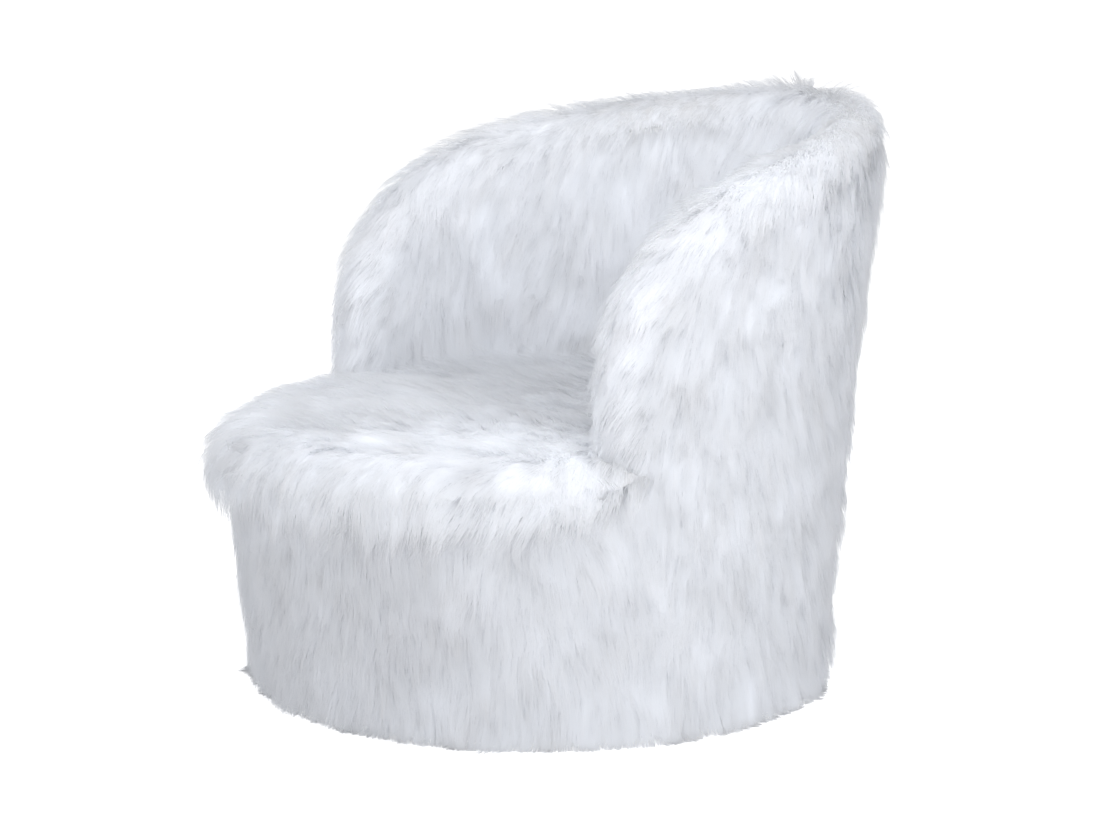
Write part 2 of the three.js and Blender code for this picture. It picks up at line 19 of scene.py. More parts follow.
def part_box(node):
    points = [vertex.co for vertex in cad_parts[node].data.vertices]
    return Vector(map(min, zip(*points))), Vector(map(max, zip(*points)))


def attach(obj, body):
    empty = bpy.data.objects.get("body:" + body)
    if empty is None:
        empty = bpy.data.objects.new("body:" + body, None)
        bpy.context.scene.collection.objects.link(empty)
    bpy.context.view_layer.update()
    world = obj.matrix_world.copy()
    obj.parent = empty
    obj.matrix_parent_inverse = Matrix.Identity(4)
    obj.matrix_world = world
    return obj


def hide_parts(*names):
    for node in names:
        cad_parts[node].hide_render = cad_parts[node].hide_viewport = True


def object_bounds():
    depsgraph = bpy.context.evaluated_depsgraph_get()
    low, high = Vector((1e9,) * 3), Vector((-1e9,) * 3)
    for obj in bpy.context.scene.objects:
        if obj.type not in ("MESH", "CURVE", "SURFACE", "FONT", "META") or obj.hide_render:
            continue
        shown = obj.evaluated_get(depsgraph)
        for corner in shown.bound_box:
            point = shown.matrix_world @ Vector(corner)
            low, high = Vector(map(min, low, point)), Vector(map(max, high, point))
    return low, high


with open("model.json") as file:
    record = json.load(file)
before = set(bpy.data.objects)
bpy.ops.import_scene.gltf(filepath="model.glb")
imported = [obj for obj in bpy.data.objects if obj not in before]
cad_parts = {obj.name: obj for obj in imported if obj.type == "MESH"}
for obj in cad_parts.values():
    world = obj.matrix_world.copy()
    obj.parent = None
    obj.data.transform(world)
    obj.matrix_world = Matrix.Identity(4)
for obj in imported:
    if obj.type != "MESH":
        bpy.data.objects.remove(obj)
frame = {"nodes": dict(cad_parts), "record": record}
cad_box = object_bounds()

# Form of the tub, as in the CAD part
BASE_RADIUS = 0.404
TOP_HALF_WIDTH = 0.366
FRONT_DECK_DEPTH = 0.450
BACK_TOP_DEPTH = 0.553
BACK_CURVE_SHARE = 0.3
BACK_HEIGHT = 0.798
HEM_HEIGHT = 0.010
DECK_HEIGHT = 0.306
BORDER_RISE = 0.055
BORDER_RISE_ANGLE = math.radians(45)
WALL_THICKNESS = 0.109
ARM_ANGLE = math.radians(80.2)
ARM_TURN_HEIGHT = 0.410
SWEEP_POWER = 2.24
RISE_POWER = 3.04
HALF_WALL = WALL_THICKNESS / 2
POLE_TOP = BACK_HEIGHT - HALF_WALL

# Skins of the wall, and the flanks where the rolled edge is fuller
SKIN_DEPTH = 0.014
SKIN_THICKNESS = 0.003
INSIDE_DEPTH = WALL_THICKNESS - SKIN_DEPTH
FLANK_ANGLE = math.radians(80)
FLANK_REACH = math.radians(15)
FLANK_FULLNESS = 0.008
ANGLE_STEPS = 128
HEIGHT_STEPS = 32
ROLL_STEPS = 18
EDGE_SAMPLES = 640
NUDGE = 0.0001
TINY = 1e-9

# Skin of the cushion, which stays put where it faces down or presses against the wall
CUSHION_VOXEL = 0.008
THIN_PART_SHARE = 0.35
SNUG_REACH = 0.01
UNDERSIDE_TILT = 0.9
UNDERSIDE_BLEND = 0.4
SMOOTHING_ROUNDS = 4
STUFFING = 4
SWELL_FRAMES = 20
SWELL_CAP = 0.006

# Parts of the bases where hair grows
CUSHION_HAIR_TILT = -0.6
INSIDE_HAIR_BOTTOM = 0.36

# Pieces of fur: the most triangles in one, and the first cover's seed
PIECE_TRIANGLES = 185000
SEED = 7

# Limits of the fur: the chair's own box, and the floor, where the hair lies outward and uneven
PROUD_SHARE = 0.03
PROUD = 0.009
FLOOR_CLEARANCE = 0.002
FLARE_SHARE = 0.2
FLOOR_LIFT = 0.002
FLOOR_RIPPLES = 1e4


@dataclass
class Layer:
    """One kind of hair: how many to a clump, how long and wide in metres, and how it bends.

    Fine hair lets the light through, so it casts no shadow on the hair below it.
    """

    name: str
    shades: bool
    per_clump: int
    length: float
    width: float
    segments: int
    lean_start: float
    lean_end: float
    gather: float
    roll: float
    stray_share: float = 0.0


UNDERCOAT = Layer(
    name="undercoat",
    shades=True,
    per_clump=8,
    length=0.024,
    width=0.0022,
    segments=2,
    lean_start=math.radians(76),
    lean_end=math.radians(88),
    gather=0.05,
    roll=math.radians(4),
)
GUARD_HAIR = Layer(
    name="guard_hair",
    shades=False,
    per_clump=13,
    length=0.050,
    width=0.0009,
    segments=4,
    lean_start=math.radians(46),
    lean_end=math.radians(82),
    gather=0.2,
    roll=math.radians(12),
    stray_share=0.02,
)
LAYERS = (UNDERCOAT, GUARD_HAIR)


@dataclass
class Noise:
    """Smooth noise over the fur: its strength, the size of its bumps in metres, and its seed."""

    strength: float
    size: float
    seed: int

    def at(self, points):
        return self.strength * waves(points, self.size, self.seed)


# Shape of the noise: how many waves it adds up, and how far their lengths differ
WAVE_COUNT = 14
WAVE_RANGE = (0.6, 1.4)
WAVE_PEAK = 1.5

# Clumps: how they are spaced and lie, and how they differ over the fur (drift) and one by one (spread)
CLUMP_SPACING = 0.0105
CLUMP_REACH = 0.85
FULL_PULL = 0.3
WEAKEST_NAP = 0.6
WIDE_SWIRL = Noise(math.radians(16), 0.11, 1)
NARROW_SWIRL = Noise(math.radians(11), 0.035, 2)
LENGTH_DRIFT = Noise(0.10, 0.05, 3)
LENGTH_SPREAD = 0.08
TUCK_DRIFT = Noise(math.radians(5), 0.06, 4)
TUCK_SPREAD = math.radians(2.5)
GATHER_DRIFT = Noise(0.35, 0.07, 5)
GATHER_RANGE = (0.3, 1.4)
MIDDLE_SHADE = 0.55
SHADE_DRIFT = Noise(0.1, 0.03, 6)
SHADE_SPREAD = 0.07
SHADE_RANGE = (0.02, 0.98)
CLOUD_TILT = 0.055
CLOUD_SIZE = 0.05
CLOUD_SEED = 11

# Hairs: how far ahead they take up the base's form, how they bend, gather and curl, and how they differ
FOLLOW = 0.04
HAIR_WEIGHT = 0.8
BEND_POWER = 0.8
LOOSE_TIP_LEAN = 0.35
GATHER_POWER = 1.3
CLOSEST_GATHER = 0.95
HAIR_TURN_SPREAD = math.radians(7)
HAIR_LENGTH_SPREAD = 0.1
HAIR_LENGTH_RANGE = (0.6, 1.4)
HAIR_SHADE_SPREAD = 0.12
STRAY_LEAN = 0.7
STRAY_LENGTH = 1.1
CURL = 0.0012
CURL_BEND = 5
CURL_PHASES = 6.3
TIP_TAPER = 0.75
FACING_SHARE = 0.05

# Brushing of the wall: down, and forward near the rolled edge
EDGE_REACH = 0.12
EDGE_OUTWARD_PULL = 0.15
EDGE_FORWARD_PULL = 0.8
WALL_FORWARD_PULL = 0.12
CROWN_HALF_WIDTH = 0.2

# Brushing of the cushion: forward and outward over its front
SEAT_OUTWARD_PULL = 0.3
SEAT_FORWARD_PULL = 0.8

# Length of the hair on the cushion's side
SIDE_TOP = 0.365
SIDE_BLEND = 0.02
SIDE_EXTRA = 0.2

# Length of the hair at the top of the back: flat shoulders, with tufts between them
TOP_START = 0.66
TOP_BLEND = 0.08
SHOULDER_ANGLE = math.radians(36)
SHOULDER_REACH = math.radians(24)
SHOULDER_DIP = 0.7
TUFTS = 1.3
TUFT_NOISE = Noise(1.0, 0.016, 9)
TUFT_THRESHOLD = 0.5
TUFT_REACH = 0.35

# Length of the hair toward the hem
LOW_HEIGHT = 0.15
LOW_EXTRA = 0.2
LAST_HEIGHT = 0.045
LAST_CUT = 0.6
RAGGEDNESS = 0.35
HEM_NOISE = Noise(1.0, 0.016, 8)


def unit(vectors):
    lengths = np.linalg.norm(vectors, axis=-1, keepdims=True)
    return vectors / np.maximum(lengths, TINY)


# Outline of the tub


def half_axes(z):
    rise = z / BACK_HEIGHT
    lean = (1 - BACK_CURVE_SHARE) * rise + BACK_CURVE_SHARE * rise**2
    side = BASE_RADIUS + (TOP_HALF_WIDTH - BASE_RADIUS) * rise
    front = BASE_RADIUS + (FRONT_DECK_DEPTH - BASE_RADIUS) * z / DECK_HEIGHT
    back = BASE_RADIUS + (BACK_TOP_DEPTH - BASE_RADIUS) * lean
    return side, front, back


def wall_outward(angle, z):
    side, front, back = half_axes(z)
    length = np.where(np.cos(angle) > 0, front, back)
    return unit(np.stack([np.sin(angle) / side, -np.cos(angle) / length, 0 * angle], -1))


def wall_point(angle, z, depth):
    """A point of the wall, a horizontal depth inside the outer face of the pile."""
    side, front, back = half_axes(z)
    length = np.where(np.cos(angle) > 0, front, back)
    face = np.stack([side * np.sin(angle), -length * np.cos(angle), z + 0 * angle], -1)
    return face - depth * wall_outward(angle, z)


def sweep_stations(steps):
    """Angle and height along the rolled edge's centre line, from the near arm to the far one."""
    phase = (math.pi / 2) * np.linspace(0, 1, EDGE_SAMPLES) ** 2
    turn = 1 - np.cos(phase).clip(0, 1) ** (2 / SWEEP_POWER)
    rise = np.sin(phase) ** (2 / RISE_POWER)
    angle = ARM_ANGLE + (math.pi - ARM_ANGLE) * turn
    height = ARM_TURN_HEIGHT + (POLE_TOP - ARM_TURN_HEIGHT) * rise
    along = np.concatenate([[0], np.cumsum(np.hypot(np.diff(angle * BASE_RADIUS), np.diff(height)))])
    even = np.linspace(0, along[-1], steps + 1)
    angle = np.interp(even, along, angle)
    height = np.interp(even, along, height)
    return (
        np.concatenate([angle, 2 * math.pi - angle[-2::-1]]),
        np.concatenate([height, height[-2::-1]]),
    )


def edge_stations(bottom, steps):
    """The whole edge with both arm fronts, and how far each station is on an upright stretch."""
    angle, height = sweep_stations(steps)
    front_height = np.linspace(bottom, ARM_TURN_HEIGHT, steps // 4, endpoint=False)
    front_angle = np.full_like(front_height, ARM_ANGLE)
    upright = np.zeros_like(angle)
    upright[0] = 1
    upright[-1] = -1
    return (
        np.concatenate([front_angle, angle, 2 * math.pi - front_angle]),
        np.concatenate([front_height, height, front_height[::-1]]),
        np.concatenate([np.ones_like(front_height), upright, -np.ones_like(front_height)]),
    )


def roll_grid(radius):
    """Half-round grid about the edge's centre line, from the outer face over to the inner one."""
    angle, height, upright = edge_stations(DECK_HEIGHT, ANGLE_STEPS // 2)
    centre = wall_point(angle, height, HALF_WALL)
    outward = wall_outward(angle, height)
    along = wall_point(angle + NUDGE, height, HALF_WALL) - centre
    up = wall_point(angle, height + NUDGE, HALF_WALL) - centre
    travel = unit(np.gradient(centre, axis=0))
    level = np.cross(outward, np.stack([0 * upright, 0 * upright, upright], -1))
    sloped = unit(np.cross(unit(np.cross(along, up)), travel))
    off = np.where(np.abs(upright)[:, None] > 0.5, level, sloped)
    turn = np.linspace(0, math.pi, ROLL_STEPS + 1)[None, :, None]
    flank = np.exp(-(((np.abs(angle - math.pi) - FLANK_ANGLE) / FLANK_REACH) ** 2))
    crown = radius + FLANK_FULLNESS * flank[:, None, None] * np.sin(turn)
    return centre[:, None] + crown * (outward[:, None] * np.cos(turn) + off[:, None] * np.sin(turn))


def wall_grid(angle, top, bottom, depth):
    share = np.linspace(0, 1, HEIGHT_STEPS + 1)[None, :]
    heights = bottom + (top[:, None] - bottom) * share
    return wall_point(angle[:, None] + 0 * heights, heights, depth)


# Skins


@dataclass
class Base:
    """The surface that hair grows from."""

    points: np.ndarray
    normals: np.ndarray
    triangles: np.ndarray


def vertex_normals(points, triangles):
    a, b, c = (points[triangles[:, i]] for i in range(3))
    faces = np.cross(b - a, c - a)
    normals = np.zeros_like(points)
    for i in range(3):
        np.add.at(normals, triangles[:, i], faces)
    return unit(normals)


def linked(name, mesh):
    """A new object in the scene that shows a mesh."""
    piece = bpy.data.objects.new(name, mesh)
    bpy.context.scene.collection.objects.link(piece)
    return piece


def mesh_object(name, points, faces):
    mesh = bpy.data.meshes.new(name)
    mesh.from_pydata(points, [], faces)
    return linked(name, mesh)


def applied(piece):
    """The piece with its modifiers applied."""
    depsgraph = bpy.context.evaluated_depsgraph_get()
    mesh = bpy.data.meshes.new_from_object(piece.evaluated_get(depsgraph))
    piece.modifiers.clear()
    piece.data = mesh
    return piece


def grid_skin(name, grid, faces_inward=False):
    """A closed thin skin on a grid of points, and the base of its outer face."""
    rows, columns = grid.shape[:2]
    index = np.arange(rows * columns).reshape(rows, columns)
    corners = [index[:-1, :-1], index[1:, :-1], index[1:, 1:], index[:-1, 1:]]
    quads = np.stack(corners, -1).reshape(-1, 4)
    if faces_inward:
        quads = quads[:, ::-1]
    points = grid.reshape(-1, 3)
    triangles = np.concatenate([quads[:, [0, 1, 2]], quads[:, [0, 2, 3]]])
    order = np.argsort(np.tile(np.arange(len(quads)), 2), kind="stable")
    skin = mesh_object(name, points.tolist(), quads.tolist())
    skin.data.shade_smooth()
    solidify = skin.modifiers.new("thickness", "SOLIDIFY")
    solidify.thickness = SKIN_THICKNESS
    solidify.offset = -1
    return applied(skin), Base(points, vertex_normals(points, triangles), triangles[order])


def mesh_base(piece):
    mesh = piece.data
    mesh.calc_loop_triangles()
    points = np.zeros(len(mesh.vertices) * 3)
    mesh.vertices.foreach_get("co", points)
    triangles = np.zeros(len(mesh.loop_triangles) * 3, int)
    mesh.loop_triangles.foreach_get("vertices", triangles)
    points = points.reshape(-1, 3)
    triangles = triangles.reshape(-1, 3)
    return Base(points, vertex_normals(points, triangles), triangles)


def tree_of(base):
    return BVHTree.FromPolygons(base.points.tolist(), base.triangles.tolist())


def kept(base, keep):
    """The part of a base whose faces' middles pass a test of place and normal."""
    middles = base.points[base.triangles].mean(1)
    normals = unit(base.normals[base.triangles].mean(1))
    return Base(base.points, base.normals, base.triangles[keep(middles, normals)])


def on_the_cushion(middles, normals):
    """The cushion's faces that don't face down."""
    return normals[:, 2] > CUSHION_HAIR_TILT


def above_the_cushion(middles, normals):
    """The inside wall's faces that the cushion doesn't hide."""
    return middles[:, 2] > INSIDE_HAIR_BOTTOM


# Skin of the cushion


def joined(name, nodes):
    """A new object of copies of CAD nodes."""
    points, faces = [], []
    for node in nodes:
        mesh = frame["nodes"][node].data
        start = len(points)
        points += [vertex.co[:] for vertex in mesh.vertices]
        faces += [[start + index for index in polygon.vertices] for polygon in mesh.polygons]
    return mesh_object(name, points, faces)


def smoothed(values, edges):
    """Values on the points of a mesh, averaged along its edges."""
    for _ in range(SMOOTHING_ROUNDS):
        total = values.copy()
        count = np.ones(len(values))
        for here, there in ((0, 1), (1, 0)):
            np.add.at(total, edges[:, here], values[edges[:, there]])
            np.add.at(count, edges[:, here], 1)
        values = total / count
    return values


def clear_of_the_wall(points):
    """0 where the cushion presses against the tub's wall, up to 1 away from it."""
    wall = joined("wall_copy", ["rolled_edge_cover", "inside_back_cover"])
    tree = tree_of(mesh_base(wall))
    bpy.data.objects.remove(wall)
    distance = np.array([tree.find_nearest(point)[3] for point in points.tolist()])
    return np.clip((distance - CUSHION_VOXEL / 2) / SNUG_REACH, 0, 1)


def thickness_below(base):
    """How far it is from each point of a closed base straight through to the other side."""
    tree = tree_of(base)
    return np.array([
        tree.ray_cast(Vector(point - NUDGE * normal), Vector(-normal))[3] or 0
        for point, normal in zip(base.points, base.normals)
    ])


def move_points(piece, points):
    piece.data.vertices.foreach_set("co", points.ravel())
    piece.data.update()


def swell(piece, free):
    """Fills the cushion out by a cloth simulation, which moves its free points by a capped distance."""
    before = mesh_base(piece).points
    stuffing = piece.modifiers.new("stuffing", "CLOTH").settings
    stuffing.use_pressure = True
    stuffing.uniform_pressure_force = STUFFING
    stuffing.effector_weights.gravity = 0
    for step in range(1, SWELL_FRAMES + 1):
        bpy.context.scene.frame_set(step)
    after = mesh_base(applied(piece)).points
    bpy.context.scene.frame_set(1)
    move = after - before
    length = np.linalg.norm(move, axis=1, keepdims=True)
    move *= np.minimum(1, SWELL_CAP / np.maximum(length, NUDGE)) * free[:, None]
    move_points(piece, before + move)


def cushion_body():
    """The cushion's own surface, drawn in under its pile by a share of how thick it is there."""
    piece = joined("cushion_skin", ["seat_cushion_cover", "seat_cushion_foam"])
    remesh = piece.modifiers.new("even", "REMESH")
    remesh.mode = "VOXEL"
    remesh.voxel_size = CUSHION_VOXEL
    applied(piece)
    base = mesh_base(piece)
    facing_up = np.clip((base.normals[:, 2] + UNDERSIDE_TILT) / UNDERSIDE_BLEND, 0, 1)
    free = facing_up * clear_of_the_wall(base.points)
    depth = np.minimum(SKIN_DEPTH, THIN_PART_SHARE * thickness_below(base)) * free
    edges = np.array([edge.vertices[:] for edge in piece.data.edges])
    move_points(piece, base.points - base.normals * smoothed(depth, edges)[:, None])
    swell(piece, smoothed(free, edges))
    piece.data.shade_smooth()
    return piece


# Fur


@dataclass
class Cover:
    """A fur cover: its skin, the CAD node that the skin stands for, and how the pile is groomed.

    The pull is the way the pile is brushed at a point, and the lie is how flat it lies, up to 1.
    """

    name: str
    node: str
    skin: bpy.types.Object
    base: Base
    pull: Callable
    length_at: Callable
    lie: float = 1
    meets_floor: bool = False


@dataclass
class Clumps:
    """Clumps of hair on a base: where they grow, how they lie and how they differ.

    Ahead is the base's normal further along the nap, and shown is the normal that the light meets.
    Stretch and loose are factors on the hair's length and gathering, and tuck is added to its lean.
    """

    centres: np.ndarray
    normals: np.ndarray
    ahead: np.ndarray
    shown: np.ndarray
    nap: np.ndarray
    across: np.ndarray
    strength: np.ndarray
    stretch: np.ndarray
    tuck: np.ndarray
    loose: np.ndarray
    shade: np.ndarray


@dataclass
class Hairs:
    """Hairs of one layer, and the number of the clump that each belongs to."""

    clump: np.ndarray
    paths: np.ndarray
    normals: np.ndarray
    shown: np.ndarray
    shade: np.ndarray
    roll: np.ndarray

    def only(self, mine):
        return Hairs(**{name: values[mine] for name, values in vars(self).items()})


def waves(points, size, seed):
    """Smooth noise over space, about -1 to 1, whose bumps are about a size across."""
    rng = np.random.default_rng(seed)
    directions = unit(rng.normal(size=(WAVE_COUNT, 3)))
    pitch = 2 * math.pi / (2 * size) * rng.uniform(*WAVE_RANGE, WAVE_COUNT)
    phase = rng.uniform(0, 2 * math.pi, WAVE_COUNT)
    total = np.sin(points @ directions.T * pitch + phase).sum(1)
    return total * math.sqrt(2 / WAVE_COUNT) / WAVE_PEAK


def clouds(points):
    """Smooth noise in all three directions."""
    return np.stack([waves(points, CLOUD_SIZE, CLOUD_SEED + axis) for axis in range(3)], -1)


def face_areas(base):
    corners = base.points[base.triangles]
    faces = np.cross(corners[:, 1] - corners[:, 0], corners[:, 2] - corners[:, 0])
    return np.linalg.norm(faces, axis=1) / 2


def scatter(base, count, rng):
    """Places on a base spread evenly by area, and the base's normals there."""
    areas = face_areas(base)
    total = np.cumsum(areas)
    chosen = np.searchsorted(total, (np.arange(count) + rng.random(count)) / count * total[-1])
    chosen = chosen.clip(0, len(areas) - 1)
    u, v = rng.random(count), rng.random(count)
    fold = u + v > 1
    u[fold], v[fold] = 1 - u[fold], 1 - v[fold]
    weights = np.stack([1 - u - v, u, v], 1)[:, :, None]
    triangles = base.triangles[chosen]
    return (base.points[triangles] * weights).sum(1), unit((base.normals[triangles] * weights).sum(1))


def normals_near(base, places):
    """The base's normal at the point nearest to each place."""
    tree = tree_of(base)
    nearest = [tree.find_nearest(place)[2] for place in places.tolist()]
    return unit(base.normals[base.triangles[nearest]].mean(1))


def nap_at(points, normals, pull):
    """The way the pile lies, which is the pull turned this way and that, and how strongly it lies."""
    along = pull(points)
    along = along - normals * (along * normals).sum(1, keepdims=True)
    strength = np.linalg.norm(along, axis=1)
    along = unit(along)
    across = np.cross(normals, along)
    swirl = WIDE_SWIRL.at(points) + NARROW_SWIRL.at(points)
    along = along * np.cos(swirl)[:, None] + across * np.sin(swirl)[:, None]
    return along, np.clip(strength / FULL_PULL, WEAKEST_NAP, 1)


def clumps_on(cover, rng):
    """A cover's clumps, one to each square of the clumps' spacing."""
    count = int(face_areas(cover.base).sum() / CLUMP_SPACING**2)
    centres, normals = scatter(cover.base, count, rng)
    nap, strength = nap_at(centres, normals, cover.pull)
    spread = LENGTH_SPREAD * rng.normal(size=count)
    tuck = TUCK_DRIFT.at(centres) + TUCK_SPREAD * rng.normal(size=count)
    shade = MIDDLE_SHADE + SHADE_DRIFT.at(centres) + SHADE_SPREAD * rng.normal(size=count)
    return Clumps(
        centres=centres,
        normals=normals,
        ahead=normals_near(cover.base, centres + FOLLOW * nap),
        shown=unit(normals + CLOUD_TILT * clouds(centres)),
        nap=nap,
        across=np.cross(normals, nap),
        strength=strength * cover.lie,
        stretch=cover.length_at(centres) * (1 + LENGTH_DRIFT.at(centres) + spread),
        tuck=tuck,
        loose=np.clip(1 + GATHER_DRIFT.at(centres), *GATHER_RANGE),
        shade=np.clip(shade, *SHADE_RANGE),
    )


def hair_paths(roots, normals, ahead, nap, length, lean_start, lean_end, segments):
    """Points along each hair, which bends over along the nap and follows the form of its base.

    The base turns from the normals to the normals ahead over the hair's length.
    """
    share = (np.arange(segments) + 0.5) / segments
    lean = lean_start[:, None] + (lean_end - lean_start)[:, None] * share[None, :] ** BEND_POWER
    turned = normals[:, None] + (ahead - normals)[:, None] * share[None, :, None]
    off = unit(turned)
    along = nap[:, None] - off * (nap[:, None] * off).sum(-1, keepdims=True)
    steps = off * np.cos(lean)[:, :, None] + unit(along) * np.sin(lean)[:, :, None]
    hang = HAIR_WEIGHT * share[None, :] * (1 - off[:, :, 2].clip(0, 1))
    steps[:, :, 2] -= hang
    steps = unit(steps) * (length / segments)[:, None, None]
    start = np.zeros((len(roots), 1, 3))
    return roots[:, None] + np.concatenate([start, np.cumsum(steps, 1)], 1)


def hairs_of(layer, clumps, rng):
    """Every hair of a layer, drawn part of the way from its own path to the one at its clump's centre."""
    clump = np.repeat(np.arange(len(clumps.centres)), layer.per_clump)
    hairs = len(clump)
    centres = clumps.centres[clump]
    normals = clumps.normals[clump]
    ahead = clumps.ahead[clump]
    nap = clumps.nap[clump]
    across = clumps.across[clump]
    strength = clumps.strength[clump]
    tuck = clumps.tuck[clump]
    reach = CLUMP_SPACING * CLUMP_REACH * np.sqrt(rng.random(hairs))
    bearing = 2 * math.pi * rng.random(hairs)
    offset = across * (reach * np.cos(bearing))[:, None] + nap * (reach * np.sin(bearing))[:, None]
    turn = HAIR_TURN_SPREAD * rng.normal(size=hairs)
    own_nap = nap * np.cos(turn)[:, None] + across * np.sin(turn)[:, None]
    spread = (1 + HAIR_LENGTH_SPREAD * rng.normal(size=hairs)).clip(*HAIR_LENGTH_RANGE)
    length = layer.length * clumps.stretch[clump] * spread
    lean_start = (layer.lean_start + tuck) * strength
    lean_end = (layer.lean_end + tuck) * (LOOSE_TIP_LEAN + (1 - LOOSE_TIP_LEAN) * strength)
    stray = rng.random(hairs) < layer.stray_share
    lean_end = np.where(stray, lean_end * STRAY_LEAN, lean_end)
    length = np.where(stray, length * STRAY_LENGTH, length)
    bend = (length, lean_start, lean_end, layer.segments)
    own = hair_paths(centres + offset, normals, ahead, own_nap, *bend)
    guide = hair_paths(centres, normals, ahead, nap, *bend)
    share = np.linspace(0, 1, layer.segments + 1)[None, :]
    gather = layer.gather * clumps.loose[clump] * ~stray
    gather = gather[:, None] * share**GATHER_POWER
    paths = own + (guide - own) * gather[:, :, None].clip(0, CLOSEST_GATHER)
    curl = CURL * np.sin(share * CURL_BEND + (CURL_PHASES * rng.random(hairs))[:, None]) * share
    roll = layer.roll * rng.normal(size=hairs)
    shade = clumps.shade[clump] + HAIR_SHADE_SPREAD * rng.normal(size=hairs)
    return Hairs(
        clump=clump,
        paths=paths + across[:, None] * curl[:, :, None],
        normals=normals,
        shown=clumps.shown[clump],
        shade=shade.clip(*SHADE_RANGE),
        roll=roll,
    )


def in_the_box(paths):
    """Hair that would stand too far out of the chair's own box bends along it instead."""
    low, high = np.array(cad_box[0]), np.array(cad_box[1])
    proud = PROUD + PROUD_SHARE * (high - low)
    return paths.clip(low - proud, high + proud)


def on_the_floor(paths, normals):
    """Hair that would pass the floor lies along it instead, outward."""
    under = (FLOOR_CLEARANCE - paths[:, :, 2]).clip(0, None)
    outward = normals * np.array([1, 1, 0])
    paths = paths + unit(outward)[:, None] * under[:, :, None] * FLARE_SHARE
    lifted = FLOOR_CLEARANCE + FLOOR_LIFT * np.abs(np.sin(FLOOR_RIPPLES * paths[:, :, 0]))
    paths[:, :, 2] = np.where(under > 0, lifted, paths[:, :, 2])
    return paths


def ribbon_faces(stations):
    """Triangles of one ribbon, which has a pair of points at each station and one at its tip."""
    faces = []
    for i in range(stations - 2):
        a, b, c, d = 2 * i, 2 * i + 1, 2 * i + 3, 2 * i + 2
        faces += [[a, b, c], [a, c, d]]
    last = 2 * (stations - 2)
    faces.append([last, last + 1, last + 2])
    return np.array(faces)


def ribbons(layer, hairs):
    """Points, faces, UVs and shading normals for hairs as tapered ribbons.

    The UVs hold the hair's shade and how far along the hair a point is.
    """
    paths = hairs.paths
    normals = hairs.normals
    roll = hairs.roll
    count, stations = paths.shape[:2]
    travel = unit(np.gradient(paths, axis=1))
    flat = unit(np.cross(travel, normals[:, None]))
    edge_on = np.cross(travel, flat)
    side = flat * np.cos(roll)[:, None, None] + edge_on * np.sin(roll)[:, None, None]
    share = np.linspace(0, 1, stations)
    half = layer.width / 2 * (1 - TIP_TAPER * share[:-1] ** 2)
    left = paths[:, :-1] - side[:, :-1] * half[None, :, None]
    right = paths[:, :-1] + side[:, :-1] * half[None, :, None]
    pairs = np.stack([left, right], 2).reshape(count, -1, 3)
    points = np.concatenate([pairs, paths[:, -1:]], 1)
    facing = unit(np.cross(side, travel))
    facing = facing * np.sign((facing * normals[:, None]).sum(-1, keepdims=True) + TINY)
    blend = unit(hairs.shown[:, None] + FACING_SHARE * facing)
    shading = np.concatenate([np.repeat(blend[:, :-1], 2, axis=1), blend[:, -1:]], 1)
    each = points.shape[1]
    along = np.concatenate([np.repeat(share[:-1], 2), [1]])
    shades = np.repeat(hairs.shade[:, None], each, 1)
    uvs = np.stack([shades, np.repeat(along[None, :], count, 0)], -1)
    faces = ribbon_faces(stations)[None] + (np.arange(count) * each)[:, None, None]
    return points.reshape(-1, 3), faces.reshape(-1, 3), uvs.reshape(-1, 2), shading.reshape(-1, 3)


def fur_piece(name, points, faces, uvs, normals):
    mesh = bpy.data.meshes.new(name)
    mesh.vertices.add(len(points))
    mesh.vertices.foreach_set("co", points.astype(np.float32).ravel())
    mesh.loops.add(faces.size)
    mesh.loops.foreach_set("vertex_index", faces.astype(np.int32).ravel())
    mesh.polygons.add(len(faces))
    mesh.polygons.foreach_set("loop_start", np.arange(0, faces.size, 3, dtype=np.int32))
    layer = mesh.uv_layers.new(name="OFBake")
    layer.uv.foreach_set("vector", uvs[faces.ravel()].astype(np.float32).ravel())
    mesh.update()
    mesh.shade_smooth()
    mesh.normals_split_custom_set_from_vertices(normals.tolist())
    return linked(name, mesh)


def grow(cover, seed):
    """A cover's fur, layer by layer, in as many pieces as the triangles need."""
    rng = np.random.default_rng(seed)
    clumps = clumps_on(cover, rng)
    made = []
    for layer in LAYERS:
        hairs = hairs_of(layer, clumps, rng)
        triangles = len(hairs.paths) * (2 * layer.segments - 1)
        pieces = math.ceil(triangles / PIECE_TRIANGLES)
        ends = np.linspace(0, len(clumps.centres), pieces + 1).astype(int)
        for i in range(pieces):
            mine = hairs.only((hairs.clump >= ends[i]) & (hairs.clump < ends[i + 1]))
            mine.paths = in_the_box(mine.paths)
            if cover.meets_floor:
                mine.paths = on_the_floor(mine.paths, mine.normals)
            piece = fur_piece(f"{cover.name}_{layer.name}_{i + 1}", *ribbons(layer, mine))
            piece.visible_shadow = layer.shades
            made.append(piece)
    return made


# Ways the pile is brushed

sweep_angle, sweep_height = sweep_stations(ANGLE_STEPS // 2)


def outward_from_the_axis(points):
    return unit(points * np.array([1, 1, 0]))


def below_the_edge(points):
    """How far each point of the wall is under the edge's centre line."""
    side, front, back = half_axes(points[:, 2])
    length = np.where(points[:, 1] < 0, front, back)
    angle = np.abs(np.arctan2(points[:, 0] / side, -points[:, 1] / length))
    half = len(sweep_angle) // 2 + 1
    return np.interp(angle, sweep_angle[:half], sweep_height[:half]) - points[:, 2]


